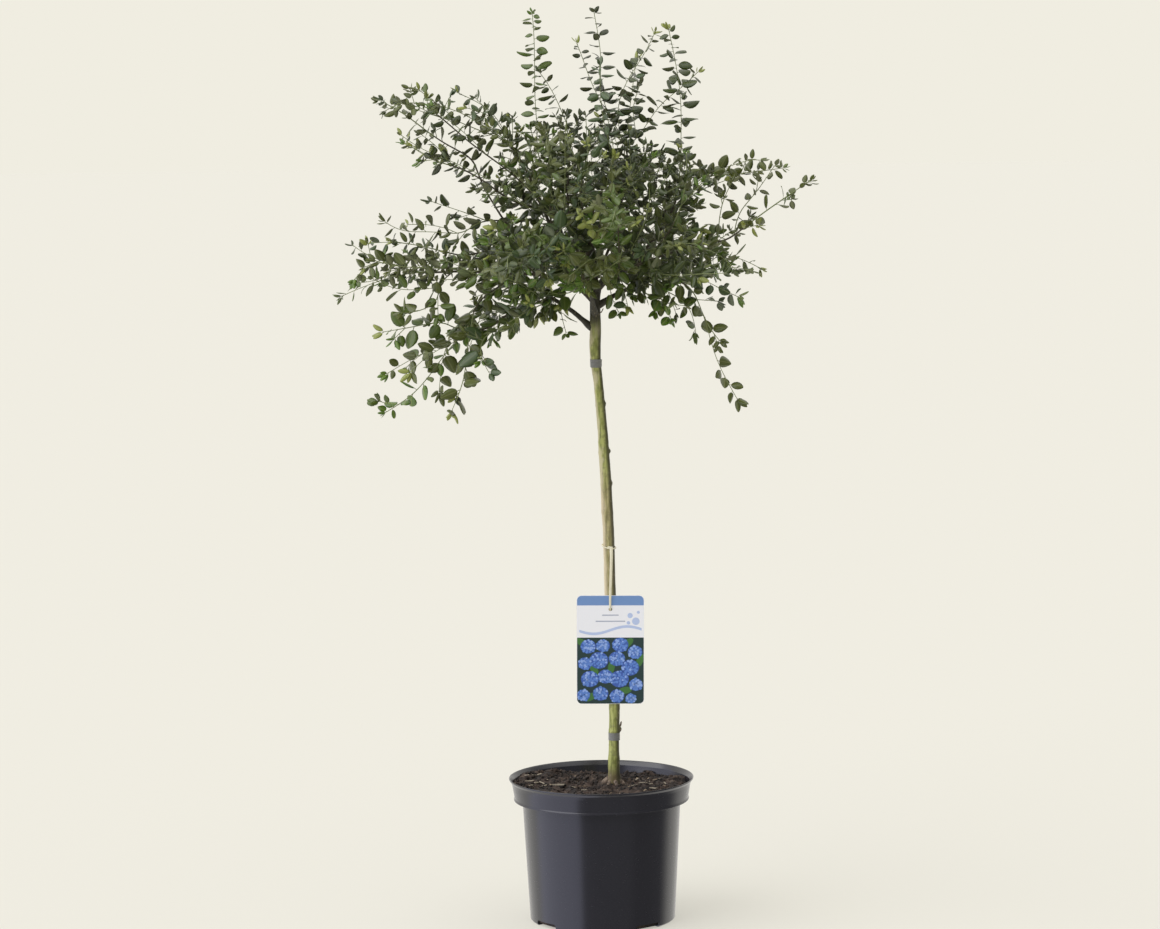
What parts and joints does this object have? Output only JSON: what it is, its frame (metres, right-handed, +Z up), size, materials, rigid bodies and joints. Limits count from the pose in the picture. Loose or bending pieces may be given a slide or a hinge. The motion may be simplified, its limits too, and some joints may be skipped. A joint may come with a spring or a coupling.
{
  "type": "potted ceanothus",
  "caption": "Small-leaved evergreen shrub grown as a standard: a bare leaning stem with an open arching crown, in a round nursery pot with a hanging card label.",
  "frame": {"origin": "centre of the flat underside of the pot", "axes": "+Z up along the pot's axis, -Y towards the front, where the label hangs, +X to the right"},
  "size_m": [0.5787, 0.535, 1.116],
  "materials": {
    "pot_plastic": "satin moulded charcoal plastic",
    "compost": "crumbly dark brown compost",
    "stem_bark": "smooth olive green young bark",
    "bough_bark": "dark olive brown bark",
    "leaves": "glossy dark green leaves",
    "tape": "grey plant tape",
    "cream_strap": "soft cream strap",
    "label_card": "glossy printed card"
  },
  "bodies": {
    "root": {"bough_back": "bough_bark", "bough_back_left": "bough_bark", "bough_front": "bough_bark", "bough_front_right": "bough_bark", "bough_left": "bough_bark", "bough_right": "bough_bark", "foliage_back": "leaves", "foliage_back_left": "leaves", "foliage_back_right": "leaves", "foliage_back_upper": "leaves", "foliage_back_weeping": "leaves", "foliage_front": "leaves", "foliage_front_left": "leaves", "foliage_front_left_low": "leaves", "foliage_front_right": "leaves", "foliage_front_upper": "leaves", "foliage_left": "leaves", "foliage_left_low": "leaves", "foliage_left_spray": "leaves", "foliage_left_tip": "leaves", "foliage_left_upper": "leaves", "foliage_left_upper_low": "leaves", "foliage_left_weeping": "leaves", "foliage_left_weeping_inner": "leaves", "foliage_lower_1": "leaves", "foliage_lower_2": "leaves", "foliage_lower_3": "leaves", "foliage_lower_4": "leaves", "foliage_lower_5": "leaves", "foliage_lower_6": "leaves", "foliage_right": "leaves", "foliage_right_far": "leaves", "foliage_right_hanging": "leaves", "foliage_right_low": "leaves", "foliage_right_upper": "leaves", "foliage_right_weeping": "leaves", "foliage_top": "leaves", "foliage_upper_1": "leaves", "foliage_upper_2": "leaves", "foliage_upper_3": "leaves", "foliage_upper_4": "leaves", "foliage_upper_5": "leaves", "label": "label_card", "label_strap": "cream_strap", "pot": "pot_plastic", "shoot_back": "leaves", "shoot_front": "leaves", "shoot_left": "leaves", "shoot_left_side": "leaves", "shoot_middle": "leaves", "shoot_middle_side": "leaves", "shoot_right": "leaves", "shoot_right_middle": "leaves", "shoot_right_side": "leaves", "soil": "compost", "tape_lower": "tape", "tape_upper": "tape", "tie": "cream_strap", "trunk": "stem_bark"}
  },
  "joints": []
}
